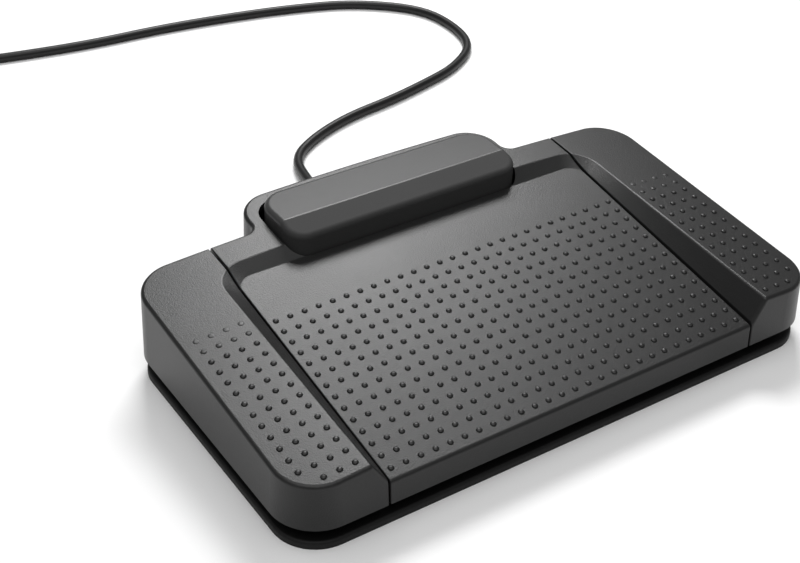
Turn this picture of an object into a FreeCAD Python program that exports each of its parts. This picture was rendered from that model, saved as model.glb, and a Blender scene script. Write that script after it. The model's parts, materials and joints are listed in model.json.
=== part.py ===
"""Four-pedal foot control for a transcription set.

Millimetres.  X runs to the right, Y to the back and Z up.  The origin is the centre
of the footprint, on the surface that the sole stands on.
"""
import FreeCAD, Part
import math
import os

V = FreeCAD.Vector

# ---------------------------------------------------------------- driving dimensions
HALF_WIDTH = 113.4          # pedal covers, at their lower edge
FRONT_Y = -70.8
BACK_Y = 53.1
HUMP_BACK_Y = 72.6          # rearward bulge that carries the function bar
HUMP_HALF = 59.4
HUMP_X = -1.5                # the bulge and the bar sit a little left of the middle
CORNER_R = 17.0
HUMP_CORNER_R = 14.6
HUMP_FILLET_R = 2.9
COVER_BOTTOM_Z = 8.8
DRAFT = math.tan(math.radians(3.0))
BACK_DRAFT_SHARE = 0.3      # the back walls lean less than the other walls
WALL = 2.2

SKIN_CROWN_R = 1800.0       # side-to-side crown of the top surface
SKIN_SLOPE = 0.083          # the top surface falls towards the front
SKIN_REF_Y = 9.8
SKIN_REF_Z = 36.1           # height of the crown line at SKIN_REF_Y

SEAM_X = 78.9               # centre line of the gap between centre pedal and wings
SEAM_GAP = 0.8

TREAD_SLOPE = 0.1517        # sunken tread of the centre pedal
TREAD_REF_Z = 28.9          # height of the tread plane at Y = 0
TREAD_FOOT_X = SEAM_X
TREAD_FOOT_Y = 33.9
TREAD_FOOT_R = 8.0
TREAD_RIM_X = 85.0
TREAD_RIM_Y = 39.8
TREAD_RIM_R = 12.0

SOLE_H = 3.0
SOLE_INSET = 0.7
TRAY_INSET = 5.3
TRAY_TOP_Z = 11.0
TRAY_FLOOR_Z = 5.0
TRAY_WALL = 2.0

HINGE_Y = 43.0              # one steel rod carries all three pedals
HINGE_Z = 18.0
HINGE_D = 4.0
HINGE_HALF = 106.0
FIT = 0.05                  # radial running clearance

BAR_HALF = 51.8
BAR_FRONT_Y = 34.5
BAR_BACK_Y = 65.2
BAR_FRONT_R = 7.5
BAR_BACK_R = 11.0
BAR_TOP_Z = 44.7
BAR_CREASE_Y = 45.0
BAR_NOSE_Z = 42.1           # front edge of the bevelled face
BAR_BOTTOM_Z = 31.2
BAR_PIN_Y = 59.2
BAR_PIN_Z = 35.5
BAR_PIN_D = 2.5
OPENING_GAP = 1.1

CORD_D = 4.5
CORD_EXIT_Z = 7.4

os.makedirs("parts", exist_ok=True)


# ---------------------------------------------------------------- small helpers
def box(x0, x1, y0, y1, z0, z1):
    return Part.makeBox(x1 - x0, y1 - y0, z1 - z0, V(x0, y0, z0))


def upright(x, y, z0, z1, d):
    return Part.makeCylinder(d / 2, z1 - z0, V(x, y, z0), V(0, 0, 1))


def along_x(x0, x1, y, z, d):
    return Part.makeCylinder(d / 2, x1 - x0, V(x0, y, z), V(1, 0, 0))


def along_y(x, y0, y1, z, d):
    return Part.makeCylinder(d / 2, y1 - y0, V(x, y0, z), V(0, 1, 0))


def fuse(shapes):
    first, rest = shapes[0], shapes[1:]
    return first.multiFuse(rest).removeSplitter() if rest else first


def group(shapes):
    return Part.makeCompound(shapes)


def save(name, shape):
    shape.exportStep("parts/%s.step" % name)
    solids = shape.Solids
    good = shape.isValid() and len(solids) > 0
    state = "ok" if good else "BAD"
    print("%-22s %2d solid  %9.1f mm3  %s" % (name, len(solids), shape.Volume, state))


def skin_z(x, y):
    return SKIN_REF_Z + SKIN_SLOPE * (y - SKIN_REF_Y) - x * x / (2 * SKIN_CROWN_R)


def tread_z(y):
    return TREAD_REF_Z + TREAD_SLOPE * y


def arc(centre, radius, start_deg, end_deg, z):
    """Quarter arc in a horizontal plane, through its middle point."""
    def at(deg):
        a = math.radians(deg)
        return V(centre[0] + radius * math.cos(a), centre[1] + radius * math.sin(a), z)
    return Part.Arc(at(start_deg), at((start_deg + end_deg) / 2), at(end_deg)).toShape()


def joined(arcs):
    """Closed wire: the given arcs in order, with straight edges between them."""
    edges = []
    for here, after in zip(arcs, arcs[1:] + arcs[:1]):
        edges.append(here)
        start = here.valueAt(here.LastParameter)
        end = after.valueAt(after.FirstParameter)
        if start.distanceToPoint(end) > 1e-6:
            edges.append(Part.LineSegment(start, end).toShape())
    return Part.Wire(edges)


def plan_outline(inset, z, lean=0.0):
    """Outline of the whole control, seen from above, drawn in by inset and the walls' lean."""
    w = HALF_WIDTH - inset - lean
    front = FRONT_Y + inset + lean
    back = BACK_Y - inset - lean * BACK_DRAFT_SHARE
    hump = HUMP_HALF - inset - lean
    hump_back = HUMP_BACK_Y - inset - lean * BACK_DRAFT_SHARE
    r = CORNER_R - inset - lean
    hr = HUMP_CORNER_R - inset - lean
    fr = HUMP_FILLET_R + inset + lean
    return joined([
        arc((-w + r, front + r), r, 180, 270, z),
        arc((w - r, front + r), r, 270, 360, z),
        arc((w - r, back - r), r, 0, 90, z),
        arc((HUMP_X + hump + fr, back + fr), fr, 270, 180, z),
        arc((HUMP_X + hump - hr, hump_back - hr), hr, 0, 90, z),
        arc((HUMP_X - hump + hr, hump_back - hr), hr, 90, 180, z),
        arc((HUMP_X - hump - fr, back + fr), fr, 0, -90, z),
        arc((-w + r, back - r), r, 90, 180, z),
    ])


def slab(inset, z0, z1, draft=0.0):
    """Solid between two plan outlines, drawn in further towards the top."""
    low = plan_outline(inset, z0)
    high = plan_outline(inset, z1, draft * (z1 - z0))
    return Part.makeLoft([low, high], True, True)


def round_edges(shape, radius, chosen):
    edges = [e for e in shape.Edges if chosen(e)]
    return shape.makeFillet(radius, edges) if edges else shape


# ---------------------------------------------------------------- pedal covers
def skin_body(drop):
    """Everything under the crowned, sloping top surface, lowered by drop."""
    tilt = math.atan(SKIN_SLOPE)
    axis = V(0, math.cos(tilt), math.sin(tilt))
    up = V(0, -math.sin(tilt), math.cos(tilt))
    on_top = V(0, SKIN_REF_Y, SKIN_REF_Z)
    start = on_top - up * SKIN_CROWN_R - axis * 150
    return Part.makeCylinder(SKIN_CROWN_R - drop, 300, start, axis)


def tread_pocket(grow):
    """Air over the sunken tread: sloping walls at the back and the sides, open in front."""
    front = FRONT_Y - 20
    foot_x = TREAD_FOOT_X + grow
    foot_y = TREAD_FOOT_Y + grow
    foot_r = TREAD_FOOT_R + grow
    rim_x = TREAD_RIM_X + grow
    rim_y = TREAD_RIM_Y + grow
    rim_r = TREAD_RIM_R + grow

    def loop(x, y, r, height):
        def p(px, py):
            return V(px, py, height(px, py))

        def curve(points):
            spline = Part.BSplineCurve()
            spline.interpolate(points)
            return spline.toShape()

        def corner(side):
            points = []
            for step in range(7):
                a = math.radians(15 * step)
                points.append(p(side * (x - r + r * math.cos(a)), y - r + r * math.sin(a)))
            return points
        right = corner(1)
        left = corner(-1)[::-1]
        back = [p(px, y) for px in [(x - r) * k / 4 for k in range(4, -5, -1)]]
        edges = [Part.LineSegment(p(x, front), right[0]).toShape(), curve(right), curve(back),
                 curve(left), Part.LineSegment(left[-1], p(-x, front)).toShape(),
                 Part.LineSegment(p(-x, front), p(x, front)).toShape()]
        return Part.Wire(edges)

    foot = loop(foot_x, foot_y, foot_r, lambda px, py: tread_z(py) - grow)
    rim = loop(rim_x, rim_y, rim_r, lambda px, py: skin_z(px, py) - grow)
    sky = loop(rim_x + 1, rim_y + 1, rim_r + 1, lambda px, py: 60.0)
    return Part.makeLoft([foot, rim, sky], True, True)


def cover_block(inset, drop, grow, bottom):
    block = slab(inset, bottom, 55, DRAFT).common(skin_body(drop))
    return block.cut(tread_pocket(grow))


OUTER = cover_block(0.0, 0.0, 0.0, COVER_BOTTOM_Z)
INNER = cover_block(WALL, WALL, WALL, COVER_BOTTOM_Z - 1)
FAR = 200.0
EDGE_R = 1.4                # moulded edges of the covers
SEAM_EDGE_R = 0.4
SEAM_WALL_Z = 21.0          # the walls along the seams end above the rod, board and tray


def on_plane_x(edge, planes):
    b = edge.BoundBox
    return any(abs(b.XMin - x) < 1e-3 and abs(b.XMax - x) < 1e-3 for x in planes)


def joins_wall_faces(edge):
    """True for the upright lines where two tangent wall faces meet."""
    b = edge.BoundBox
    return b.ZLength > 6 and b.XLength < 2.5 and b.YLength < 2.5


def above_hem(edge):
    return edge.BoundBox.ZMax > COVER_BOTTOM_Z + 0.1


def cover_skin(x0, x1):
    """Hollow cover between two upright planes, with rounded edges and closed sides."""
    planes = [x for x in (x0, x1) if abs(x) < HALF_WIDTH]
    outside = OUTER.common(box(x0, x1, -FAR, FAR, 0, 60))

    def moulded(edge):
        return above_hem(edge) and not on_plane_x(edge, planes) and not joins_wall_faces(edge)

    outside = round_edges(outside, EDGE_R, moulded)
    outside = round_edges(outside, SEAM_EDGE_R, lambda e: above_hem(e) and on_plane_x(e, planes))
    left_in = x0 + WALL if x0 in planes else x0
    right_in = x1 - WALL if x1 in planes else x1
    inside = INNER.common(box(left_in, right_in, -FAR, FAR, 0, 60))
    below_seam_walls = INNER.common(box(x0, x1, -FAR, FAR, 0, SEAM_WALL_Z))
    return outside.cut(inside).cut(below_seam_walls), inside


def hanging(shape, room):
    """The part of a rib or boss that lies inside a cover, overlapping its ceiling a little."""
    return shape.common(room.translated(V(0, 0, 0.6)))


# ---------------------------------------------------------------- pedal hinge and bosses
BUSH_D = 8.0
LUG_T = 4.0
BOSS_D = 13.0
SPRING_Y = -35.0
SPRING_D = 9.6
SPRING_WIRE = 1.0
SPIGOT_D = SPRING_D - 2 * SPRING_WIRE - 0.8
SPRING_SEAT_Z = 17.5        # underside of the bosses that the springs push on
SENSOR_Y = 14.0
MAGNET_D = 6.0
MAGNET_BOTTOM_Z = 12.2
STOP_Y = -58.0
STOP_RIB_Z = 12.0
TAIL_Z = 12.1               # underside of the ribs that rest on the rear stop pads
TAIL_T = 3.2
WING_TAIL_X = 89.6
HUMP_TAIL_X = 30.0


def hinge_lug(x_mid):
    """Plate with a bored round end, hanging from a cover's ceiling to the hinge rod."""
    x0 = x_mid - LUG_T / 2
    plate = box(x0, x0 + LUG_T, HINGE_Y - 6, HINGE_Y + 6, HINGE_Z, 45)
    return fuse([plate, along_x(x0, x0 + LUG_T, HINGE_Y, HINGE_Z, 12)])


def hinge_bush(x_mid):
    outer = along_x(x_mid - LUG_T / 2 - 0.5, x_mid + LUG_T / 2 + 0.5, HINGE_Y, HINGE_Z, BUSH_D)
    bore = along_x(x_mid - LUG_T, x_mid + LUG_T, HINGE_Y, HINGE_Z, HINGE_D + 2 * FIT)
    return outer.cut(bore)


def tail_rib(x_mid, y_back):
    return box(x_mid - TAIL_T / 2, x_mid + TAIL_T / 2, y_back - 6.4, y_back - 1.5, TAIL_Z, 45)


def cover(x0, x1, lugs, springs, magnet_x, stops, tails):
    shell, room = cover_skin(x0, x1)
    ribs = [hinge_lug(x) for x in lugs]
    ribs += [upright(x, SPRING_Y, SPRING_SEAT_Z, 45, BOSS_D) for x in springs]
    ribs += [upright(magnet_x, SENSOR_Y, MAGNET_BOTTOM_Z, 45, MAGNET_D + 4)]
    ribs += [box(x - 4, x + 4, STOP_Y - 2, STOP_Y + 2, STOP_RIB_Z, 45) for x in stops]
    ribs += [tail_rib(x, y) for x, y in tails]
    body = fuse([shell] + [hanging(rib, room) for rib in ribs])
    for x in lugs:
        body = body.cut(along_x(x - LUG_T, x + LUG_T, HINGE_Y, HINGE_Z, BUSH_D))
    for x in springs:
        spigot = upright(x, SPRING_Y, SPRING_SEAT_Z - 3, SPRING_SEAT_Z + 1, SPIGOT_D)
        body = body.fuse(spigot)
    pocket = upright(magnet_x, SENSOR_Y, MAGNET_BOTTOM_Z - 1, MAGNET_BOTTOM_Z + 3, MAGNET_D)
    return body.cut(pocket).removeSplitter()


def magnet(x):
    return upright(x, SENSOR_Y, MAGNET_BOTTOM_Z, MAGNET_BOTTOM_Z + 3, MAGNET_D)


WING_X = 96.0
WING_LUGS = (86.0, 102.0)
CENTRE_LUGS = (-62.0, 62.0)
CENTRE_SPRINGS = (-45.0, 45.0)
SIDE_SEAM = SEAM_X - SEAM_GAP / 2
WING_SEAM = SEAM_X + SEAM_GAP / 2
STOP_WING_X = 94.0
STOP_CENTRE_X = 60.0


def wing(side):
    x0, x1 = sorted((side * WING_SEAM, side * FAR))
    lugs = [side * x for x in WING_LUGS]
    tails = [(side * WING_TAIL_X, BACK_Y)]
    return cover(x0, x1, lugs, [side * WING_X], side * WING_X, [side * STOP_WING_X], tails)


save("left_pedal_cover", wing(-1))
save("right_pedal_cover", wing(1))

# ---------------------------------------------------------------- centre pedal
OPEN_HALF = BAR_HALF + OPENING_GAP
OPEN_FRONT = BAR_FRONT_Y - OPENING_GAP
OPEN_BACK = BAR_BACK_Y + OPENING_GAP
OPEN_BACK_R = 9.0


def rounded_plan(half, front, back, front_r, back_r, z):
    left, right = HUMP_X - half, HUMP_X + half
    return joined([
        arc((left + front_r, front + front_r), front_r, 180, 270, z),
        arc((right - front_r, front + front_r), front_r, 270, 360, z),
        arc((right - back_r, back - back_r), back_r, 0, 90, z),
        arc((left + back_r, back - back_r), back_r, 90, 180, z),
    ])


def prism(wire, height):
    return Part.Face(wire).extrude(V(0, 0, height))


def yz_plate(x0, x1, points):
    """Plate with a side profile given as (y, z) points."""
    corners = [V(x0, y, z) for y, z in points]
    wire = Part.makePolygon(corners + corners[:1])
    return Part.Face(wire).extrude(V(x1 - x0, 0, 0))


BAR_RIBS = (HUMP_X - 38.0, HUMP_X + 38.0)
BAR_RIB_T = 4.0
BAR_LUG_T = 2.6
BAR_EYE_D = 6.4
SHELVES = (HUMP_X - 26.0, HUMP_X + 26.0)
SHELF_TOP_Z = 23.5
CABLE_NOTCH_HALF = 6.5
CABLE_NOTCH_TOP = 13.0


def bar_pin_rib(x_mid):
    """Arm from the hump's back wall, under the bar, up to the bar's pin."""
    x0, x1 = x_mid - BAR_RIB_T / 2, x_mid + BAR_RIB_T / 2
    wall_y = HUMP_BACK_Y - 1.4
    arm = yz_plate(x0, x1, [(wall_y, 20.0), (wall_y, 30.0), (BAR_PIN_Y + 2.5, 30.0),
                            (BAR_PIN_Y + 2.5, BAR_PIN_Z), (BAR_PIN_Y - BAR_EYE_D / 2, BAR_PIN_Z),
                            (BAR_PIN_Y - BAR_EYE_D / 2, 26.0)])
    eye = along_x(x0, x1, BAR_PIN_Y, BAR_PIN_Z, BAR_EYE_D)
    bore = along_x(x0 - 1, x1 + 1, BAR_PIN_Y, BAR_PIN_Z, BAR_PIN_D + 2 * FIT)
    return fuse([arm, eye]).cut(bore)


def spring_shelf(x_mid):
    """Bracket under the bar's front edge: it holds the bar's spring and its down stop."""
    x0, x1 = x_mid - 7, x_mid + 7
    outer_y, inner_y = OPEN_FRONT - 2.2, OPEN_FRONT - 0.2
    return yz_plate(x0, x1, [(outer_y, 32.0), (outer_y, SHELF_TOP_Z - 2.2), (49.0, SHELF_TOP_Z - 2.2),
                             (49.0, SHELF_TOP_Z), (inner_y, SHELF_TOP_Z), (inner_y, 32.0)])


centre_tails = [(side * HUMP_TAIL_X, HUMP_BACK_Y) for side in (-1, 1)]
centre_stops = [side * STOP_CENTRE_X for side in (-1, 1)]
centre_cover = cover(-SIDE_SEAM, SIDE_SEAM, CENTRE_LUGS, CENTRE_SPRINGS, 0.0, centre_stops, centre_tails)
opening = prism(rounded_plan(OPEN_HALF, OPEN_FRONT, OPEN_BACK, BAR_FRONT_R + 1, OPEN_BACK_R, 24), 30)
notch_y = (HUMP_BACK_Y - 5, HUMP_BACK_Y + 2)
notch_z = CABLE_NOTCH_TOP - CABLE_NOTCH_HALF
notch = fuse([box(-CABLE_NOTCH_HALF, CABLE_NOTCH_HALF, *notch_y, 0, notch_z),
              along_y(0, *notch_y, notch_z, 2 * CABLE_NOTCH_HALF)])
centre_cover = centre_cover.cut(opening).cut(notch)
additions = [bar_pin_rib(x) for x in BAR_RIBS]
additions += [spring_shelf(x) for x in SHELVES]
centre_cover = centre_cover.fuse(additions).removeSplitter()
save("centre_pedal_cover", centre_cover)

for side, name in ((-1, "left"), (1, "right")):
    save("%s_pedal_bushes" % name, group([hinge_bush(side * x) for x in WING_LUGS]))
    save("%s_pedal_magnet" % name, magnet(side * WING_X))
save("centre_pedal_bushes", group([hinge_bush(x) for x in CENTRE_LUGS]))
save("centre_pedal_magnet", magnet(0.0))

# ---------------------------------------------------------------- function bar
BAR_EDGE_R = 2.2
BAR_WALL = 2.0


def bar_solid(shrink, drop, bottom):
    plan = rounded_plan(BAR_HALF - shrink, BAR_FRONT_Y + shrink, BAR_BACK_Y - shrink,
                        BAR_FRONT_R - shrink, BAR_BACK_R - shrink, bottom)
    block = prism(plan, BAR_TOP_Z - drop - bottom)
    run = BAR_CREASE_Y - BAR_FRONT_Y
    fall = (BAR_TOP_Z - BAR_NOSE_Z) / run
    nose = (BAR_FRONT_Y - 20, BAR_TOP_Z - drop - fall * (run + 20))
    above = yz_plate(-FAR, FAR, [(BAR_CREASE_Y, BAR_TOP_Z - drop), (BAR_CREASE_Y, 70),
                                 (BAR_FRONT_Y - 20, 70), nose])
    return block.cut(above)


def on_bar_top(edge):
    return edge.BoundBox.ZMin > BAR_NOSE_Z - 1.0


bar_outside = bar_solid(0.0, 0.0, BAR_BOTTOM_Z)
bar_outside = round_edges(bar_outside, BAR_EDGE_R, on_bar_top)
bar_shell = bar_outside.cut(bar_solid(BAR_WALL, BAR_WALL, BAR_BOTTOM_Z - 1))
STALK_X = 12.0
BAR_MAGNET_Z = 13.5
BAR_SPRING_Y = 42.0
BAR_SPRING_TOP_Z = 36.0
LIP_HALF = 43.0
LIP_BOTTOM_Z = 29.3           # the lip hooks under the opening and stops the bar at rest


def bar_lug(x_mid):
    x0, x1 = x_mid - BAR_LUG_T / 2, x_mid + BAR_LUG_T / 2
    r = BAR_EYE_D / 2
    plate = box(x0, x1, BAR_PIN_Y - r, BAR_PIN_Y + r, BAR_PIN_Z, BAR_TOP_Z - 1)
    return fuse([plate, along_x(x0, x1, BAR_PIN_Y, BAR_PIN_Z, BAR_EYE_D)])


BAR_LUGS = [x + offset for x in BAR_RIBS for offset in (-4.0, 4.0)]
lip_x = (HUMP_X - LIP_HALF, HUMP_X + LIP_HALF)
lip = box(*lip_x, BAR_FRONT_Y - 3.2, BAR_FRONT_Y + 1, LIP_BOTTOM_Z, BAR_BOTTOM_Z)
lip_wall = box(*lip_x, BAR_FRONT_Y, BAR_FRONT_Y + 1.8, LIP_BOTTOM_Z, BAR_BOTTOM_Z + 1)
lip = fuse([lip, lip_wall])
for shelf_x in SHELVES:
    lip = lip.cut(box(shelf_x - 9, shelf_x + 9, BAR_FRONT_Y - 5, BAR_FRONT_Y + 5, 20, BAR_BOTTOM_Z))
stalk = box(STALK_X - 3, STALK_X + 3, BAR_FRONT_Y + 0.2, BAR_FRONT_Y + 1.8, BAR_MAGNET_Z, BAR_TOP_Z - 4)
under_bar_face = bar_solid(0.6, 1.0, BAR_BOTTOM_Z)
posts = [upright(x, BAR_SPRING_Y, BAR_SPRING_TOP_Z, BAR_TOP_Z, 10.0) for x in SHELVES]
posts = [post.common(under_bar_face) for post in posts]
bar_cap = fuse([bar_shell] + [bar_lug(x) for x in BAR_LUGS] + [lip, stalk] + posts)
for x in BAR_LUGS:
    bar_cap = bar_cap.cut(along_x(x - 2, x + 2, BAR_PIN_Y, BAR_PIN_Z, BAR_PIN_D))
save("function_bar_cap", bar_cap.removeSplitter())
bar_pins = [along_x(x - 6, x + 6, BAR_PIN_Y, BAR_PIN_Z, BAR_PIN_D) for x in BAR_RIBS]
save("function_bar_pins", group(bar_pins))
bar_magnet = box(STALK_X - 2.5, STALK_X + 2.5, BAR_FRONT_Y - 1.8, BAR_FRONT_Y + 0.2,
                 BAR_MAGNET_Z, BAR_MAGNET_Z + 5)
save("function_bar_magnet", bar_magnet)


# ---------------------------------------------------------------- springs
def coil_spring(x, y, z0, z1, outer_d, wire_d, turns):
    radius = (outer_d - wire_d) / 2
    pitch = (z1 - z0 - wire_d) / turns
    helix = Part.makeHelix(pitch, pitch * turns, radius)
    start = V(radius, 0, 0)
    circle = Part.Wire(Part.makeCircle(wire_d / 2, start, V(0, 1, 0)))
    solid = Part.Wire(helix).makePipeShell([circle], True, True)
    solid.translate(V(x, y, z0 + wire_d / 2))
    return solid


SPRING_FOOT_Z = TRAY_FLOOR_Z + 0.1
for name, x in (("left_pedal_spring", -WING_X), ("right_pedal_spring", WING_X),
                ("centre_spring_left", CENTRE_SPRINGS[0]), ("centre_spring_right", CENTRE_SPRINGS[1])):
    save(name, coil_spring(x, SPRING_Y, SPRING_FOOT_Z, SPRING_SEAT_Z - 0.1, SPRING_D, SPRING_WIRE, 5))
bar_springs = []
for x in SHELVES:
    bar_springs.append(coil_spring(x, BAR_SPRING_Y, SHELF_TOP_Z + 0.1, BAR_SPRING_TOP_Z - 0.1, 7.2, 0.9, 5))
save("function_bar_springs", group(bar_springs))

# ---------------------------------------------------------------- base
sole = slab(SOLE_INSET, 0.0, SOLE_H)
sole = round_edges(sole, 1.2, lambda e: e.BoundBox.ZMin > SOLE_H - 0.01)
BASE_SCREWS = [(-80.0, -50.0), (80.0, -50.0), (-80.0, 26.0), (80.0, 26.0), (-20.0, 54.0), (20.0, 54.0)]
SCREW_HEAD_D = 6.4
for x, y in BASE_SCREWS:
    sole = sole.cut(upright(x, y, -1, SOLE_H + 1, SCREW_HEAD_D + 1.2))
save("rubber_sole", sole)

tray = slab(TRAY_INSET, SOLE_H, TRAY_TOP_Z).cut(slab(TRAY_INSET + TRAY_WALL, TRAY_FLOOR_Z, TRAY_TOP_Z + 1))
SADDLE_X = (-STOP_WING_X, -50.0, 50.0, STOP_WING_X)
SADDLE_T = 5.0
SADDLE_FRONT = HINGE_Y - 6.5
SADDLE_BACK = BACK_Y - TRAY_INSET
SADDLE_TOP = HINGE_Z + 4.2
SADDLE_SCREW_Y = HINGE_Y - 4.4


def hinge_post(x):
    post = box(x - SADDLE_T / 2, x + SADDLE_T / 2, SADDLE_FRONT, SADDLE_BACK, SOLE_H + 0.5, HINGE_Z)
    return post.cut(along_x(x - SADDLE_T, x + SADDLE_T, HINGE_Y, HINGE_Z, HINGE_D))


def saddle(x):
    """Cap that holds the rod down on its post."""
    cap = box(x - SADDLE_T / 2, x + SADDLE_T / 2, SADDLE_FRONT, SADDLE_BACK, HINGE_Z, SADDLE_TOP)
    cap = cap.cut(along_x(x - SADDLE_T, x + SADDLE_T, HINGE_Y, HINGE_Z, HINGE_D))
    return cap.cut(upright(x, SADDLE_SCREW_Y, HINGE_Z - 1, SADDLE_TOP + 1, 2.2))


def stud(x, y, top, hole_d):
    return upright(x, y, TRAY_FLOOR_Z - 0.5, top, hole_d + 3.0)


BOARD_Z = 7.2
BOARD_T = 1.6
BOARD_SCREWS = [(-86.0, 24.0), (86.0, 24.0), (-30.0, 7.0), (30.0, 7.0)]
BUMPER_TOP_Z = 8.3
BUMPERS = [(x, STOP_Y) for x in (-STOP_WING_X, -STOP_CENTRE_X, STOP_CENTRE_X, STOP_WING_X)]
SPRING_XY = [(x, SPRING_Y) for x in (-WING_X, CENTRE_SPRINGS[0], CENTRE_SPRINGS[1], WING_X)]
CLAMP_Y = 56.0
CLAMP_X = 7.5
CLAMP_SEAT_Z = TRAY_FLOOR_Z + 1.0
adds = [hinge_post(x) for x in SADDLE_X]
adds += [stud(x, y, BOARD_Z, 2.6) for x, y in BOARD_SCREWS]
adds += [upright(x, y, TRAY_FLOOR_Z - 0.5, TRAY_FLOOR_Z + 3.0, SPIGOT_D) for x, y in SPRING_XY]
adds += [stud(x, CLAMP_Y, CLAMP_SEAT_Z, 2.6) for x in (-CLAMP_X, CLAMP_X)]
tray = fuse([tray] + adds)
for x, y in BASE_SCREWS:
    tray = tray.cut(upright(x, y, SOLE_H - 1, TRAY_FLOOR_Z + 1, 3.4))
for x, y in BOARD_SCREWS:
    tray = tray.cut(upright(x, y, SOLE_H + 0.6, BOARD_Z + 1, 2.2))
for x in (-CLAMP_X, CLAMP_X):
    tray = tray.cut(upright(x, CLAMP_Y, SOLE_H + 0.6, CLAMP_SEAT_Z + 1, 2.2))
for x in SADDLE_X:
    tray = tray.cut(upright(x, SADDLE_SCREW_Y, SOLE_H + 0.6, HINGE_Z + 1, 2.2))
RELIEF_D = 8.0
NECK_D = 6.4
TRAY_BACK = HUMP_BACK_Y - TRAY_INSET
tray = tray.cut(along_y(0, TRAY_BACK - TRAY_WALL - 1, TRAY_BACK + 1, CORD_EXIT_Z, NECK_D))
tray = tray.cut(box(-NECK_D / 2, NECK_D / 2, TRAY_BACK - TRAY_WALL - 1, TRAY_BACK + 1, CORD_EXIT_Z, 20))
save("base_tray", tray.removeSplitter())

save("hinge_rod", along_x(-HINGE_HALF, HINGE_HALF, HINGE_Y, HINGE_Z, HINGE_D))
save("hinge_saddles", group([saddle(x) for x in SADDLE_X]))


def pan_screw(x, y, head_z, length, head_d, shank_d):
    head = upright(x, y, head_z, head_z + 1.6, head_d)
    shank = upright(x, y, head_z - length, head_z, shank_d)
    slot = box(x - head_d / 2, x + head_d / 2, y - 0.4, y + 0.4, head_z + 1.0, head_z + 2)
    return fuse([head, shank]).cut(slot)


def clip(x):
    ring = along_x(x - 0.4, x + 0.4, HINGE_Y, HINGE_Z, 7.0)
    ring = ring.cut(along_x(x - 1, x + 1, HINGE_Y, HINGE_Z, HINGE_D))
    return ring.cut(box(x - 1, x + 1, HINGE_Y - 1.2, HINGE_Y + 1.2, HINGE_Z - 5, HINGE_Z))


save("saddle_screws", group([pan_screw(x, SADDLE_SCREW_Y, SADDLE_TOP, 12.0, 4.0, 2.2) for x in SADDLE_X]))
save("rod_clips", group([clip(side * (HINGE_HALF - 1.0)) for side in (-1, 1)]))

# ballast
plate = box(-72, 72, -30, -2, TRAY_FLOOR_Z, TRAY_FLOOR_Z + 2)
plate = plate.fuse(box(-34, 34, -60, -30, TRAY_FLOOR_Z, TRAY_FLOOR_Z + 2)).removeSplitter()
BALLAST_SCREWS = [(-64.0, -16.0), (64.0, -16.0), (0.0, -52.0)]
for x, y in SPRING_XY:
    plate = plate.cut(upright(x, y, 0, 20, SPRING_D + 3))
for x, y in BALLAST_SCREWS:
    plate = plate.cut(upright(x, y, 0, 20, 3.0))
save("ballast_plate", plate)
save("ballast_screws", group([pan_screw(x, y, TRAY_FLOOR_Z + 2, 1.9, 5.0, 3.0) for x, y in BALLAST_SCREWS]))


def sole_screw(x, y):
    head = upright(x, y, SOLE_H - 2.2, SOLE_H, SCREW_HEAD_D)
    shank = upright(x, y, SOLE_H, TRAY_FLOOR_Z + 1.5, 3.4)
    arms = fuse([box(x - 1.8, x + 1.8, y - 0.4, y + 0.4, SOLE_H - 3, SOLE_H - 1.2),
                 box(x - 0.4, x + 0.4, y - 1.8, y + 1.8, SOLE_H - 3, SOLE_H - 1.2)])
    return fuse([head, shank]).cut(arms)


save("base_screws", group([sole_screw(x, y) for x, y in BASE_SCREWS]))

# rubber stops
save("front_stop_bumpers", group([upright(x, y, TRAY_FLOOR_Z, BUMPER_TOP_Z, 8.0) for x, y in BUMPERS]))
wing_rail_y = BACK_Y - TRAY_INSET - TRAY_WALL
hump_rail_y = HUMP_BACK_Y - TRAY_INSET - TRAY_WALL
PAD_TOP_Z = TAIL_Z - 0.05
BAR_STOP_Z = 29.0           # top of the rubber pads that the bar lands on
rear_pads = []
for x, y in ((WING_TAIL_X, wing_rail_y), (HUMP_TAIL_X, hump_rail_y)):
    for mid in (-x, x):
        rear_pads.append(box(mid - TAIL_T / 2, mid + TAIL_T / 2, y, y + TRAY_WALL, TRAY_TOP_Z, PAD_TOP_Z))
save("rear_stop_pads", group(rear_pads))
bar_stops = []
for x in SHELVES:
    bar_stops.append(box(x - 6, x + 6, BAR_FRONT_Y - 0.2, BAR_FRONT_Y + 2.6, SHELF_TOP_Z, BAR_STOP_Z))
save("function_bar_stops", group(bar_stops))

# ---------------------------------------------------------------- electronics
BOARD_TOP = BOARD_Z + BOARD_T
board = fuse([box(-104, 104, 4, 30, BOARD_Z, BOARD_TOP), box(-30, 30, 2, 34, BOARD_Z, BOARD_TOP)])
for x, y in BOARD_SCREWS:
    board = board.cut(upright(x, y, 0, 20, 2.8))
for x, y in BASE_SCREWS:
    board = board.cut(upright(x, y, 0, 20, 6.0))
save("circuit_board", board)
save("board_screws", group([pan_screw(x, y, BOARD_TOP, BOARD_T + 2.0, 5.0, 2.2) for x, y in BOARD_SCREWS]))


def sensor(x, y):
    return box(x - 1.5, x + 1.5, y - 1.5, y + 1.5, BOARD_TOP, BOARD_TOP + 1.2)


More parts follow.
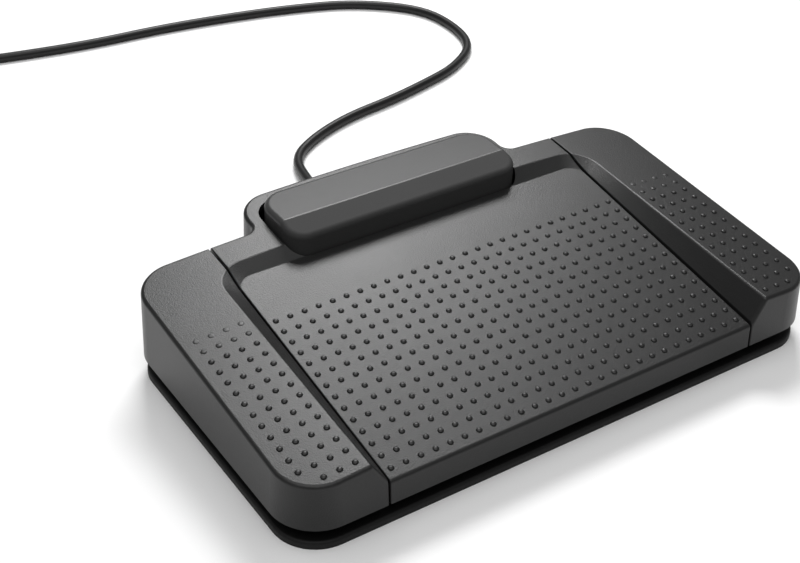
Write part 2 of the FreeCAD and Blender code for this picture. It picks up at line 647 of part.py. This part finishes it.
save("hall_sensors", group([sensor(-WING_X, SENSOR_Y), sensor(0, SENSOR_Y), sensor(WING_X, SENSOR_Y),
                            sensor(STALK_X, 31.5)]))
save("controller_chip", box(-26, -17, 16, 25, BOARD_TOP, BOARD_TOP + 1.4))
SOCKET_X = -2.0
SOCKET_Y = 33.0             # mouth of the socket
PLUG_IN_Z = BOARD_TOP + 2.5
socket = box(SOCKET_X - 5, SOCKET_X + 5, SOCKET_Y - 6, SOCKET_Y, BOARD_TOP, BOARD_TOP + 5)
socket = socket.cut(box(SOCKET_X - 4, SOCKET_X + 4, SOCKET_Y - 5, SOCKET_Y + 1, BOARD_TOP + 1, BOARD_TOP + 4))
save("cable_socket", socket)
connector = box(SOCKET_X - 3.9, SOCKET_X + 3.9, SOCKET_Y - 4, SOCKET_Y + 2.5,
                PLUG_IN_Z - 1.4, PLUG_IN_Z + 1.4)
save("cable_connector", connector)

# ---------------------------------------------------------------- the lead
RELIEF_END_Y = 93.5
RELIEF_TIP_D = 5.6
INNER_LEAD_D = 3.4


def straight_and_arcs(points):
    """Path of straight runs joined by tangent arcs as large as the runs allow."""
    points = [V(*p) for p in points]
    edges = []
    radii = []
    start = points[0]
    for before, corner, after in zip(points, points[1:], points[2:]):
        a = before - corner
        b = after - corner
        reach = 0.45 * min(a.Length, b.Length)
        half_turn = (math.pi - a.getAngle(b)) / 2
        radii.append(reach / math.tan(half_turn))
        a.normalize()
        b.normalize()
        bisector = a + b
        bisector.normalize()
        near = corner + a * reach
        far = corner + b * reach
        depth = radii[-1] / math.cos(half_turn) - radii[-1]
        edges.append(Part.LineSegment(start, near).toShape())
        edges.append(Part.Arc(near, corner + bisector * depth, far).toShape())
        start = far
    edges.append(Part.LineSegment(start, points[-1]).toShape())
    return Part.Wire(edges), radii


def tube(label, points, diameter):
    path, radii = straight_and_arcs(points)
    first = V(*points[1]) - V(*points[0])
    ring = Part.Wire(Part.makeCircle(diameter / 2, V(*points[0]), first))
    solid = path.makePipeShell([ring], True, False)
    expected = path.Length * math.pi * diameter ** 2 / 4
    print("%s: length %.1f, volume %.1f against %.1f, radii %s" % (
        label, path.Length, solid.Volume, expected, " ".join("%.0f" % r for r in radii)))
    return solid


RELIEF_START_Y = TRAY_BACK - TRAY_WALL - 2.0
under_floor = box(-20, 20, 0, 80, 0, TRAY_FLOOR_Z)
relief = fuse([
    along_y(0, RELIEF_START_Y, RELIEF_START_Y + 2.0, CORD_EXIT_Z, RELIEF_D).cut(under_floor),
    along_y(0, TRAY_BACK - TRAY_WALL, TRAY_BACK, CORD_EXIT_Z, NECK_D),
    along_y(0, TRAY_BACK, TRAY_BACK + 6.0, CORD_EXIT_Z, RELIEF_D),
    Part.makeCone(RELIEF_D / 2, RELIEF_TIP_D / 2, RELIEF_END_Y - TRAY_BACK - 6.0,
                  V(0, TRAY_BACK + 6.0, CORD_EXIT_Z), V(0, 1, 0)),
])
save("strain_relief", relief)
INNER_ROUTE = [(0, RELIEF_START_Y, CORD_EXIT_Z), (0, 48, CORD_EXIT_Z), (-1, 41, 9.9),
               (SOCKET_X, SOCKET_Y + 2.5, PLUG_IN_Z)]
save("inner_lead", tube("inner lead", INNER_ROUTE, INNER_LEAD_D))
clamp = fuse([box(-CLAMP_X - 3.2, CLAMP_X + 3.2, CLAMP_Y - 3, CLAMP_Y + 3, CLAMP_SEAT_Z, CLAMP_SEAT_Z + 1.6),
              along_y(0, CLAMP_Y - 3, CLAMP_Y + 3, CORD_EXIT_Z, INNER_LEAD_D + 3.2)])
clamp = clamp.cut(box(-20, 20, 0, 80, 0, CLAMP_SEAT_Z))
clamp = clamp.cut(along_y(0, CLAMP_Y - 9, CLAMP_Y + 9, CORD_EXIT_Z, INNER_LEAD_D))
clamp = clamp.cut(box(-INNER_LEAD_D / 2, INNER_LEAD_D / 2, CLAMP_Y - 9, CLAMP_Y + 9, 0, CORD_EXIT_Z))
for x in (-CLAMP_X, CLAMP_X):
    clamp = clamp.cut(upright(x, CLAMP_Y, 0, 20, 2.4))
save("cable_clamp", clamp)
clamp_screws = [pan_screw(x, CLAMP_Y, CLAMP_SEAT_Z + 1.6, 3.2, 4.6, 2.2) for x in (-CLAMP_X, CLAMP_X)]
save("clamp_screws", group(clamp_screws))

# The route on the floor, then a coil of the rest and a tail to the plug.
FLOOR_Z = CORD_D / 2 + 0.05
COIL_X = -120.0
COIL_Y = 291.0
COIL_MID_R = 26.3
COIL_STEP = 4.6             # from one turn to the next, sideways
COIL_LAYERS = 4
COIL_HEADING = math.radians(165.5)   # the cord's direction as it runs on to the coil
COIL_STUB = 18.0
COIL_R_IN = COIL_MID_R - COIL_STEP - CORD_D / 2 - 0.05
COIL_R_OUT = COIL_MID_R + COIL_STEP + CORD_D / 2 + 0.05
COIL_TOP_Z = FLOOR_Z + (COIL_LAYERS - 0.5) * CORD_D + 0.05


def on_ring(heading, z):
    """Point on the outermost turn where the cord has this heading, turning left."""
    r = COIL_MID_R + COIL_STEP
    return V(COIL_X + r * math.sin(heading), COIL_Y - r * math.cos(heading), z)


def stub_end(heading, z, back):
    point = on_ring(heading, z)
    return point - V(math.cos(heading), math.sin(heading), 0) * back


COIL_LEAVE = math.radians(180.0)
coil_start = stub_end(COIL_HEADING, FLOOR_Z, COIL_STUB)
coil_top_turn = FLOOR_Z + (COIL_LAYERS - 1) * CORD_D
coil_end = stub_end(COIL_LEAVE, coil_top_turn, -COIL_STUB)
ROUTE = [
    (0, RELIEF_END_Y, CORD_EXIT_Z), (0, 106, CORD_EXIT_Z), (3, 122, 4.2), (9, 145, FLOOR_Z),
    (26, 157, FLOOR_Z), (50, 166, FLOOR_Z), (78, 170, FLOOR_Z), (102, 176, FLOOR_Z), (122, 182, FLOOR_Z),
    (144, 197, FLOOR_Z), (151, 220, FLOOR_Z), (148, 249, FLOOR_Z), (121, 274, FLOOR_Z), (91, 285, FLOOR_Z),
    (56, 293, FLOOR_Z), (17, 299, FLOOR_Z), (-22, 301, FLOOR_Z), (-62, 308, FLOOR_Z), tuple(coil_start),
]
save("cord_tube", tube("cord", ROUTE, CORD_D))

coil = upright(COIL_X, COIL_Y, 0.05, COIL_TOP_Z, 2 * COIL_R_OUT)
coil = coil.cut(upright(COIL_X, COIL_Y, -1, COIL_TOP_Z + 1, 2 * COIL_R_IN))
for tip, heading in ((coil_start, COIL_HEADING), (coil_end, COIL_LEAVE)):
    ring_point = on_ring(heading, tip.z)
    stub = Part.makeCylinder(CORD_D / 2, (ring_point - tip).Length, tip, ring_point - tip)
    coil = coil.fuse(stub)
coil = coil.removeSplitter()
save("cord_coil", coil)

TIE_W = 7.0
TIE_T = 0.8
tie_y = (COIL_Y - COIL_R_OUT, COIL_Y - COIL_R_IN)
tie = box(COIL_X - TIE_W / 2, COIL_X + TIE_W / 2, tie_y[0] - TIE_T, tie_y[1] + TIE_T, 0.0, COIL_TOP_Z + TIE_T)
tie = tie.cut(box(COIL_X - TIE_W, COIL_X + TIE_W, *tie_y, TIE_T, COIL_TOP_Z))
save("coil_tie", tie)

PLUG_X = -176.0
PLUG_Y = 256.0              # where the tail meets the plug's boot
PLUG_Z = 3.8
BOOT_L = 8.0
MOULD = (14.0, 24.0, 7.5)
SHELL = (12.0, 18.5, 4.5)
SHELL_T = 0.4
TAIL = [
    tuple(coil_end), (-150, COIL_Y + COIL_MID_R + COIL_STEP, coil_top_turn), (-165, 317, 11.0), (-175, 303, 5.0),
    (-178, 287, 2.6), (-176.6, 272, 3.0), (PLUG_X, 262, PLUG_Z), (PLUG_X, PLUG_Y, PLUG_Z),
]
save("cord_tail", tube("tail", TAIL, CORD_D))


def plug_box(size, y_back):
    w, length, h = size
    return box(PLUG_X - w / 2, PLUG_X + w / 2, y_back - length, y_back, PLUG_Z - h / 2, PLUG_Z + h / 2)


mould_y = PLUG_Y - BOOT_L
mould = round_edges(plug_box(MOULD, mould_y), 1.6, lambda e: e.BoundBox.YLength > 5)
boot = Part.makeCone(CORD_D / 2 + 0.4, 3.2, BOOT_L, V(PLUG_X, PLUG_Y, PLUG_Z), V(0, -1, 0))
save("plug_body", mould.fuse(boot))
shell_y = mould_y - MOULD[1]
tube_inside = (SHELL[0] - 2 * SHELL_T, SHELL[1] + 1, SHELL[2] - 2 * SHELL_T)
save("plug_shell", plug_box(SHELL, shell_y).cut(plug_box(tube_inside, shell_y)))
tongue = box(PLUG_X - tube_inside[0] / 2, PLUG_X + tube_inside[0] / 2, shell_y - SHELL[1] + 1, shell_y,
             PLUG_Z - tube_inside[2] / 2, PLUG_Z - 0.2)
save("plug_tongue", tongue)
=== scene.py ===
"""Looks of a four-pedal foot control: moulded charcoal covers with rows of studs, a function
bar, a black base on a rubber sole, and a lead that ends in a tied coil and a plug."""
import json
import math

import bmesh
import bpy
from mathutils import Matrix, Vector


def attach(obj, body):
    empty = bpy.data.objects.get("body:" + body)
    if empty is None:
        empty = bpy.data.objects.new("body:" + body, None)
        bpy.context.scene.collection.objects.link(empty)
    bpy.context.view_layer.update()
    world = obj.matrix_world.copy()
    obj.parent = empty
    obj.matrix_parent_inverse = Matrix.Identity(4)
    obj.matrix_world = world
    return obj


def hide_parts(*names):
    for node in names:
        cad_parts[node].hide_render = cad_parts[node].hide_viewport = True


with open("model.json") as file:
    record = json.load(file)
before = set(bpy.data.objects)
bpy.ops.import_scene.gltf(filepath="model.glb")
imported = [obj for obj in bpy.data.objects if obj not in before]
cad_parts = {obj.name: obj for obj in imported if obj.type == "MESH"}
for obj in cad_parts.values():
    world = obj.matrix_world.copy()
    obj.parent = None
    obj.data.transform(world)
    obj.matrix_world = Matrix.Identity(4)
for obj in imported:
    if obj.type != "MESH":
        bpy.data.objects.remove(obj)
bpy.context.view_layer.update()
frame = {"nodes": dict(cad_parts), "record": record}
MM = 0.001


# ---------------------------------------------------------------- shader helpers
class Wire:
    """A socket that can be used in sums and products."""

    def __init__(self, finish, socket):
        self.finish = finish
        self.socket = socket

    def _math(self, operation, a, b):
        return self.finish.node("ShaderNodeMath", {"operation": operation}, {0: a, 1: b})

    def __add__(self, other):
        return self._math("ADD", self, other)

    __radd__ = __add__

    def __sub__(self, other):
        return self._math("SUBTRACT", self, other)

    def __rsub__(self, other):
        return self._math("SUBTRACT", other, self)

    def __mul__(self, other):
        return self._math("MULTIPLY", self, other)

    __rmul__ = __mul__


class Finish:
    """A material on a Principled shader."""

    def __init__(self, name, **numbers):
        self.material = bpy.data.materials.new(name)
        self.material.use_nodes = True
        self.tree = self.material.node_tree
        self.shader = self.tree.nodes["Principled BSDF"]
        for socket, value in numbers.items():
            self.shader.inputs[socket.replace("_", " ")].default_value = value

    def node(self, kind, settings=None, inputs=None, output=0):
        made = self.tree.nodes.new(kind)
        for key, value in (settings or {}).items():
            if key == "stops":
                for stop, (at, colour) in zip(made.color_ramp.elements, value):
                    stop.position = at
                    stop.color = colour
            else:
                setattr(made, key, value)
        for key, value in (inputs or {}).items():
            self.feed(made.inputs[key], value)
        return Wire(self, made.outputs[output])

    def feed(self, socket, value):
        if isinstance(value, Wire):
            self.tree.links.new(value.socket, socket)
        else:
            socket.default_value = value

    def set(self, name, value):
        self.feed(self.shader.inputs[name], value)

    def place(self):
        return self.node("ShaderNodeTexCoord", output="Object")

    def noise(self, size, detail=2.0, roughness=0.5):
        """Noise whose blotches are about size metres across, from 0 to 1."""
        return self.node("ShaderNodeTexNoise", {"noise_dimensions": "3D"},
                         {"Vector": self.place(), "Scale": 1.0 / size, "Detail": detail,
                          "Roughness": roughness})

    def mix(self, factor, a, b):
        return self.node("ShaderNodeMix", {"data_type": "RGBA"}, {0: factor, 6: a, 7: b}, output=2)

    def bump(self, height, distance, strength=1.0):
        self.set("Normal", self.node("ShaderNodeBump", None, {"Height": height, "Distance": distance,
                                                              "Strength": strength}))


def grey(level, warm=0.0):
    return (level * (1 + warm), level, level * (1 - warm), 1.0)


PATCH = 0.035               # metres, size of the broad unevenness of a moulding
CREASE_SHARPNESS = 4000.0   # per metre, how fast the finish and the painted shade change at a crease
MATT_ROUGHNESS = 0.36       # added to the roughness in front of the crease


def moulded_plastic(name, level, roughness, grain=0.00055, depth=0.00008, shine=0.35, matt_and_painted_shade_before_y=None):
    """Spark-textured moulding: a fine grain in the relief, and faint broad unevenness.

    Faces in front of the given y, in metres, have a more matt finish and a darker colour, which is painted
    shade.
    """
    finish = Finish(name, Specular_IOR_Level=shine)
    fine = finish.noise(grain, 3.0, 0.6)
    broad = finish.noise(PATCH, 2.0)
    tone = finish.mix(broad * 0.6 + fine * 0.4, grey(level * 0.86), grey(level * 1.16))
    rough = roughness - 0.05 + broad * 0.06 + fine * 0.05
    if matt_and_painted_shade_before_y is not None:
        y = finish.node("ShaderNodeSeparateXYZ", None, {0: finish.place()}, output=1)
        matt_and_painted_shade_mask = finish.node("ShaderNodeClamp", None, {0: (matt_and_painted_shade_before_y - y) * CREASE_SHARPNESS})
        # painted shade: in front of the crease the colour is set darker and even, standing in for the shade
        # of the bar's forward-tilted bevel
        tone = finish.mix(matt_and_painted_shade_mask, tone, grey(level * 0.9))
        rough = rough + matt_and_painted_shade_mask * MATT_ROUGHNESS
    finish.set("Base Color", tone)
    finish.set("Roughness", rough)
    finish.bump(fine, depth)
    return finish.material


def plain(name, colour, roughness, metallic=0.0, grain=0.0006, depth=0.00001):
    finish = Finish(name, Metallic=metallic)
    cloud = finish.noise(grain * 12, 2.0)
    fine = finish.noise(grain, 2.0)
    dark = tuple(0.85 * c for c in colour)
    finish.set("Base Color", finish.mix(cloud, (*dark, 1.0), (*colour, 1.0)))
    finish.set("Roughness", roughness - 0.04 + cloud * 0.08)
    finish.bump(fine, depth)
    return finish.material


STREAKS_PER_METRE = (40.0, 1600.0, 1600.0)


def brushed(name, colour, roughness):
    finish = Finish(name, Metallic=1.0)
    streaks = finish.node("ShaderNodeMapping", None, {"Vector": finish.place(), "Scale": STREAKS_PER_METRE})
    lines = finish.node("ShaderNodeTexNoise", None, {"Vector": streaks, "Scale": 1.0, "Detail": 2.0})
    dark = tuple(0.8 * c for c in colour)
    finish.set("Base Color", finish.mix(lines, (*dark, 1.0), (*colour, 1.0)))
    finish.set("Roughness", roughness - 0.06 + lines * 0.12)
    finish.bump(lines, 0.000004)
    return finish.material


COVER_PLASTIC = moulded_plastic("charcoal_moulding", 0.014, 0.35, depth=0.00008, shine=0.32)
BAR_CREASE_Y = 0.0447       # metres, just in front of the line where the bar's flat top ends
# painted light: the bar's charcoal gets a base level about three times the covers', standing in for light
# thrown onto the bar's walls from the tread
BAR_PLASTIC_WITH_PAINTED_LIGHT = moulded_plastic("bar_moulding_painted_light_and_shade", 0.040, 0.34, depth=0.00004, shine=0.25,
                              matt_and_painted_shade_before_y=BAR_CREASE_Y)
TRAY_PLASTIC = moulded_plastic("black_tray", 0.004, 0.55, shine=0.2)
SOLE_RUBBER = moulded_plastic("sole_rubber", 0.006, 0.55, depth=0.00005, shine=0.25)
LEAD_PVC = moulded_plastic("lead_sheath", 0.008, 0.40, depth=0.00001, shine=0.3)
FINISHES = {
    "pedal_plastic": COVER_PLASTIC,
    "bar_plastic": BAR_PLASTIC_WITH_PAINTED_LIGHT,
    "tray_plastic": TRAY_PLASTIC,
    "sole_rubber": SOLE_RUBBER,
    "cord_pvc": LEAD_PVC,
    "nylon": plain("natural_nylon", (0.72, 0.70, 0.64), 0.38),
    "magnet_nickel": plain("magnet_plating", (0.60, 0.60, 0.60), 0.24, 1.0),
    "spring_steel": plain("spring_wire", (0.42, 0.42, 0.43), 0.30, 1.0, 0.0003),
    "zinc_steel": brushed("zinc_plate", (0.55, 0.56, 0.58), 0.34),
    "screw_steel": brushed("screw_steel", (0.40, 0.40, 0.42), 0.32),
    "ballast_steel": brushed("rolled_steel", (0.33, 0.33, 0.34), 0.45),
    "stop_rubber": plain("stop_rubber", (0.012, 0.012, 0.012), 0.7),
    "board_laminate": plain("solder_mask", (0.010, 0.070, 0.030), 0.32),
    "chip_black": plain("chip_epoxy", (0.012, 0.012, 0.012), 0.5),
    "connector_white": plain("connector_nylon", (0.70, 0.68, 0.58), 0.45),
    "tie_fabric": plain("hook_and_loop_tape", (0.012, 0.012, 0.012), 0.9, 0.0, 0.0005, 0.0001),
    "plug_metal": brushed("plug_nickel", (0.62, 0.62, 0.64), 0.26),
    "tongue_white": plain("contact_carrier", (0.75, 0.75, 0.75), 0.4),
}
SLOT_OF = {part["node"]: part["material_slot"] for part in frame["record"]["subparts"]}
for node_name, part in frame["nodes"].items():
    part.data.materials.clear()
    part.data.materials.append(FINISHES[SLOT_OF[node_name]])


# ---------------------------------------------------------------- mesh helpers
def finished(name, mesh_data, body, slot, replaced=(), smooth_deg=None):
    """Object of a mesh in place, riding on a body, in the finish of a slot."""
    piece = bpy.data.objects.new(name, mesh_data)
    bpy.context.scene.collection.objects.link(piece)
    if isinstance(mesh_data, bpy.types.Mesh):
        mesh_data.materials.clear()
    mesh_data.materials.append(FINISHES[slot])
    if smooth_deg is not None:
        mesh_data.shade_smooth()
        mesh_data.set_sharp_from_angle(angle=math.radians(smooth_deg))
    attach(piece, body)
    if replaced:
        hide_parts(*replaced)
    return piece


def mesh_of(bm, name):
    data = bpy.data.meshes.new(name)
    bm.to_mesh(data)
    bm.free()
    return data


# ---------------------------------------------------------------- camera
CAMERA_AT = Vector((-267.3, -354.0, 335.1)) * MM
CAMERA_RIGHT = Vector((0.837, -0.5469, 0.0181))
CAMERA_FORWARD = Vector((0.4564, 0.6794, -0.5746))
FIELD_OF_VIEW = math.radians(30.76)

camera_data = bpy.data.cameras.new("camera")
camera_data.sensor_fit = "HORIZONTAL"
camera_data.angle = FIELD_OF_VIEW
camera_data.clip_start = 0.01
camera = bpy.data.objects.new("camera", camera_data)
forward = CAMERA_FORWARD.normalized()
right = (CAMERA_RIGHT - forward * CAMERA_RIGHT.dot(forward)).normalized()
axes = Matrix((right, right.cross(forward), -forward)).transposed()
camera.matrix_world = Matrix.Translation(CAMERA_AT) @ axes.to_4x4()
bpy.context.scene.collection.objects.link(camera)
bpy.context.scene.camera = camera

# ---------------------------------------------------------------- the lead
LEAD_D = 4.5
FLOOR_Z = LEAD_D / 2 + 0.05
EXIT = (0.0, 93.5, 7.4)
ROUTE = [
    EXIT, (0, 106, 7.4), (3, 122, 4.2), (9, 145, FLOOR_Z), (26, 157, FLOOR_Z), (50, 166, FLOOR_Z),
    (78, 170, FLOOR_Z), (102, 176, FLOOR_Z), (122, 182, FLOOR_Z), (144, 197, FLOOR_Z), (151, 220, FLOOR_Z),
    (148, 249, FLOOR_Z), (121, 274, FLOOR_Z), (91, 285, FLOOR_Z), (56, 293, FLOOR_Z), (17, 299, FLOOR_Z),
    (-22, 301, FLOOR_Z), (-62, 308, FLOOR_Z),
]
COIL_CENTRE = (-120.0, 291.0)
COIL_MID_R = 26.3
COIL_STEP = 4.6
COIL_HEADING = 165.5        # degrees, the cord's direction as it reaches the coil
COIL_TURN_DEG = 3974.5
POINTS_PER_TURN = 16
MOVE_DEG = 60.0             # a turn moves over by one cord in this much of its round
FIRST_MOVE_DEG = 300.0
COIL_LAYERS = 4
COIL_MOVES = 11             # the last turn of the last layer has no move after it


def coil_moves():
    """Where along the coil each turn moves over or up, and how far."""
    moves = []
    at = FIRST_MOVE_DEG
    inward = True
    for _ in range(COIL_LAYERS):
        for _ in range(2):
            moves.append((at, -COIL_STEP if inward else COIL_STEP, 0.0))
            at += 360.0
        moves.append((at, 0.0, LEAD_D))
        at += 360.0 - MOVE_DEG
        inward = not inward
    return moves[:COIL_MOVES]


def coil_point(turned, moves):
    radius = COIL_MID_R + COIL_STEP
    height = FLOOR_Z
    for at, sideways, up in moves:
        share = min(max((turned - at) / MOVE_DEG, 0.0), 1.0)
        share = share * share * (3 - 2 * share)
        radius += sideways * share
        height += up * share
    radius /= math.cos(math.pi / POINTS_PER_TURN)
    angle = math.radians(COIL_HEADING - 90.0 + turned)
    return (COIL_CENTRE[0] + radius * math.cos(angle), COIL_CENTRE[1] + radius * math.sin(angle), height)


MOVES = coil_moves()
step = 360.0 / POINTS_PER_TURN
coil_points = [coil_point(step * (k + 0.5), MOVES) for k in range(int(COIL_TURN_DEG / step))]
STUB = 18.0
heading = math.radians(COIL_HEADING)
outer_r = COIL_MID_R + COIL_STEP
touch = Vector((COIL_CENTRE[0] + outer_r * math.sin(heading), COIL_CENTRE[1] - outer_r * math.cos(heading),
                FLOOR_Z))
stub_start = touch - Vector((math.cos(heading), math.sin(heading), 0)) * STUB
TOP_TURN_Z = FLOOR_Z + (COIL_LAYERS - 1) * LEAD_D
PLUG_X = -176.0
PLUG_Y = 256.0
PLUG_Z = 3.8
TAIL = [
    (COIL_CENTRE[0] - STUB, COIL_CENTRE[1] + outer_r, TOP_TURN_Z),
    (-150, COIL_CENTRE[1] + outer_r, TOP_TURN_Z), (-165, 317, 11.0), (-175, 303, 5.0), (-178, 287, 2.6),
    (-176.6, 272, 3.0), (PLUG_X, 262, PLUG_Z), (PLUG_X, PLUG_Y, PLUG_Z),
]
route = ROUTE + [tuple(stub_start)] + coil_points + TAIL

lead_curve = bpy.data.curves.new("lead", "CURVE")
lead_curve.dimensions = "3D"
lead_curve.bevel_depth = LEAD_D / 2 * MM
lead_curve.bevel_resolution = 4
lead_curve.resolution_u = 6
lead_curve.use_fill_caps = True
spline = lead_curve.splines.new("NURBS")
spline.points.add(len(route) - 1)
for point, (x, y, z) in zip(spline.points, route):
    point.co = (x * MM, y * MM, z * MM, 1.0)
spline.order_u = 3
spline.use_endpoint_u = True
spline.use_smooth = True
spline.resolution_u = 6
lead = finished("lead", lead_curve, "base", "cord_pvc", ("cord_tube", "cord_coil", "cord_tail"))

# ---------------------------------------------------------------- studs
STUD_D = 2.3
STUD_H = 0.62
PITCH_X = 5.8
TREAD_ROWS = 14
TREAD_COLUMNS_EACH_SIDE = 13
TREAD_FIRST_Y = -65.5
TREAD_PITCH_Y = 5.734
WING_ROWS = 14
WING_COLUMNS = (106.0, 100.2, 94.4, 88.7)
WING_FIRST_Y = 9.8          # the wings' rows run from the back to the front
WING_PITCH_Y = 5.78
WING_FADE_IN = (0.22, 0.5)  # the first rows rise out of the surface


def stud_mesh():
    bm = bmesh.new()
    bmesh.ops.create_uvsphere(bm, u_segments=14, v_segments=10, radius=1.0)
    everything = bm.verts[:] + bm.edges[:] + bm.faces[:]
    bmesh.ops.bisect_plane(bm, geom=everything, plane_co=(0, 0, -0.05), plane_no=(0, 0, 1), clear_inner=True)
    bmesh.ops.scale(bm, vec=(STUD_D / 2 * MM, STUD_D / 2 * MM, STUD_H * MM), verts=bm.verts)
    return mesh_of(bm, "stud")


ONE_STUD = stud_mesh()


def studs(name, body, places):
    """One mesh of studs; each place is a point, the surface's normal and a share of the full height."""
    bm = bmesh.new()
    for point, normal, height in places:
        before = len(bm.verts)
        bm.from_mesh(ONE_STUD)
        bm.verts.ensure_lookup_table()
        turn = Vector((0, 0, 1)).rotation_difference(normal).to_matrix().to_4x4()
        matrix = Matrix.Translation(point * MM) @ turn @ Matrix.Diagonal((1, 1, height, 1))
        bmesh.ops.transform(bm, matrix=matrix, verts=bm.verts[before:])
    return finished(name, mesh_of(bm, name), body, "pedal_plastic", smooth_deg=60)


TREAD_REF_Z = 28.9
TREAD_SLOPE = 0.1517
SKIN_REF_Y = 9.8
SKIN_REF_Z = 36.1
SKIN_SLOPE = 0.083
CROWN = 3600.0              # twice the radius of the side-to-side crown


def on_tread(x, y):
    return Vector((x, y, TREAD_REF_Z + TREAD_SLOPE * y)), Vector((0, -TREAD_SLOPE, 1)).normalized()


def on_skin(x, y):
    z = SKIN_REF_Z + SKIN_SLOPE * (y - SKIN_REF_Y) - x * x / CROWN
    return Vector((x, y, z)), Vector((2 * x / CROWN, -SKIN_SLOPE, 1)).normalized()


centre_places = []
for row in range(TREAD_ROWS):
    for column in range(-TREAD_COLUMNS_EACH_SIDE, TREAD_COLUMNS_EACH_SIDE + 1):
        point, normal = on_tread(PITCH_X * column, TREAD_FIRST_Y + TREAD_PITCH_Y * row)
        centre_places.append((point, normal, 1.0))
studs("centre_studs", "centre_pedal", centre_places)

for side, body in ((-1, "left_pedal"), (1, "right_pedal")):
    places = []
    for row in range(WING_ROWS):
        share = WING_FADE_IN[row] if row < len(WING_FADE_IN) else 1.0
        for index, x in enumerate(WING_COLUMNS):
            if index == 0 and row == WING_ROWS - 1:
                continue
            point, normal = on_skin(side * x, WING_FIRST_Y - WING_PITCH_Y * row)
            places.append((point, normal, share))
    studs(body + "_studs", body, places)

# ---------------------------------------------------------------- floor and light
floor_finish = Finish("white_floor", Roughness=0.6, Specular_IOR_Level=0.2)
floor_finish.set("Base Color", (0.92, 0.92, 0.92, 1.0))
bm = bmesh.new()
bmesh.ops.create_grid(bm, x_segments=1, y_segments=1, size=3.0)
floor_data = mesh_of(bm, "floor")
floor_data.materials.append(floor_finish.material)
floor = bpy.data.objects.new("floor", floor_data)
bpy.context.scene.collection.objects.link(floor)

world = bpy.data.worlds.new("studio")
world.use_nodes = True
world.node_tree.nodes["Background"].inputs["Color"].default_value = (1, 1, 1, 1)
world.node_tree.nodes["Background"].inputs["Strength"].default_value = 0.2
bpy.context.scene.world = world


def area_light(name, place, target, size, power):
    data = bpy.data.lights.new(name, "AREA")
    data.shape = "RECTANGLE"
    data.size, data.size_y = size
    data.energy = power
    light = bpy.data.objects.new(name, data)
    light.location = place
    light.rotation_euler = (Vector(target) - Vector(place)).to_track_quat("-Z", "Y").to_euler()
    bpy.context.scene.collection.objects.link(light)


area_light("back_softbox", (0.46, 0.736, 0.93), (0, 0, 0.03), (0.50, 0.34), 12.0)
area_light("top_softbox", (-0.4, -0.4, 1.8), (0, 0, 0), (2.0, 2.0), 24.0)
bpy.context.scene.view_settings.view_transform = "Standard"
